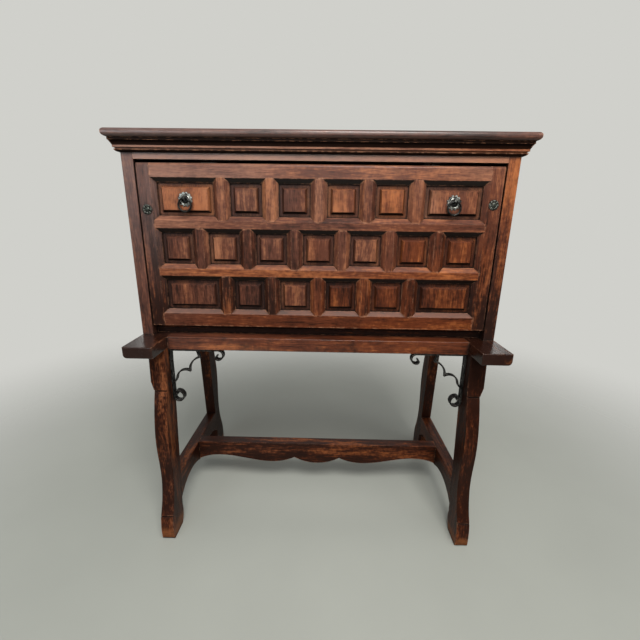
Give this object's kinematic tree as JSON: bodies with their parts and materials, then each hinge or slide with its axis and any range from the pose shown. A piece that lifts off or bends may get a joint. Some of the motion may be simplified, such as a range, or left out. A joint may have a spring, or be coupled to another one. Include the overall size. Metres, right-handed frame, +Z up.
{
  "type": "vargueno writing cabinet",
  "caption": "Fall-front writing cabinet with a mitred raised-panel lattice front, on an open trestle stand with sabre legs and scrolled iron brackets",
  "frame": {"origin": "on the floor, at the centre of the four feet and of the arms", "axes": "+Z up, -Y to the front where the fall front opens, +X to the right of someone facing the front"},
  "size_m": [1.124, 0.566, 1.225],
  "materials": {
    "stand_wood": "dark red-brown stained hardwood, worn satin polish",
    "carcass_wood": "dark red-brown stained hardwood, satin polish",
    "lattice_wood": "dark stained hardwood, polish worn through on the edges",
    "panel_wood": "red-brown stained hardwood, worn paler on the raised fields",
    "inner_wood": "plain oiled hardwood",
    "black_iron": "blackened wrought iron",
    "aged_steel": "dull aged steel"
  },
  "bodies": {
    "case": {"arm_left": "stand_wood", "arm_right": "stand_wood", "leg_front_left": "stand_wood", "leg_front_right": "stand_wood", "leg_rear_left": "stand_wood", "leg_rear_right": "stand_wood", "front_rail": "stand_wood", "rear_rail": "stand_wood", "side_stretcher_left": "stand_wood", "side_stretcher_right": "stand_wood", "centre_stretcher": "stand_wood", "side_left": "carcass_wood", "side_right": "carcass_wood", "top_rail": "carcass_wood", "top_board": "carcass_wood", "cornice_front": "carcass_wood", "cornice_left": "carcass_wood", "cornice_right": "carcass_wood", "bottom_board": "inner_wood", "back_panel": "inner_wood", "door_stops": "inner_wood", "gallery_shelf": "inner_wood", "gallery_divider_left": "inner_wood", "gallery_divider_right": "inner_wood", "bracket_left": "black_iron", "bracket_right": "black_iron", "bracket_screws": "black_iron", "hinge_leaves_case": "aged_steel", "hinge_screws_case": "aged_steel", "hinge_pins": "aged_steel", "catches": "aged_steel"},
    "fall_front": {"door_stile_left": "lattice_wood", "door_stile_right": "lattice_wood", "door_bottom_rail": "lattice_wood", "door_lower_rail": "lattice_wood", "door_upper_rail": "lattice_wood", "door_top_rail": "lattice_wood", "muntins_bottom_row": "lattice_wood", "muntins_middle_row": "lattice_wood", "muntins_top_row": "lattice_wood", "panels_bottom_row": "panel_wood", "panels_middle_row": "panel_wood", "panels_top_row": "panel_wood", "pull_plate_left": "black_iron", "pull_plate_right": "black_iron", "staple_left": "black_iron", "staple_right": "black_iron", "studs": "black_iron", "hinge_leaves_door": "aged_steel", "hinge_screws_door": "aged_steel", "strikes": "aged_steel"},
    "ring_left": {"ring_left": "black_iron"},
    "ring_right": {"ring_right": "black_iron"},
    "drawer_left": {"drawer_front_left": "carcass_wood", "drawer_box_left": "inner_wood", "drawer_knob_left": "carcass_wood"},
    "drawer_right": {"drawer_front_right": "carcass_wood", "drawer_box_right": "inner_wood", "drawer_knob_right": "carcass_wood"}
  },
  "joints": [
    {"name": "fall_front_hinge", "type": "hinge", "parent": "case", "child": "fall_front", "pos_m": [0, -0.139, 0.6902], "axis": [1, 0, 0], "range_deg": [0, 90]},
    {"name": "ring_left_swing", "type": "hinge", "parent": "fall_front", "child": "ring_left", "pos_m": [-0.37007, -0.171, 1.0565], "axis": [-1, 0, 0], "range_deg": [0, 170]},
    {"name": "ring_right_swing", "type": "hinge", "parent": "fall_front", "child": "ring_right", "pos_m": [0.37007, -0.171, 1.0565], "axis": [-1, 0, 0], "range_deg": [0, 170]},
    {"name": "drawer_left_slide", "type": "slide", "parent": "case", "child": "drawer_left", "axis": [0, -1, 0], "range_m": [0, 0.12]},
    {"name": "drawer_right_slide", "type": "slide", "parent": "case", "child": "drawer_right", "axis": [0, -1, 0], "range_m": [0, 0.12]}
  ]
}
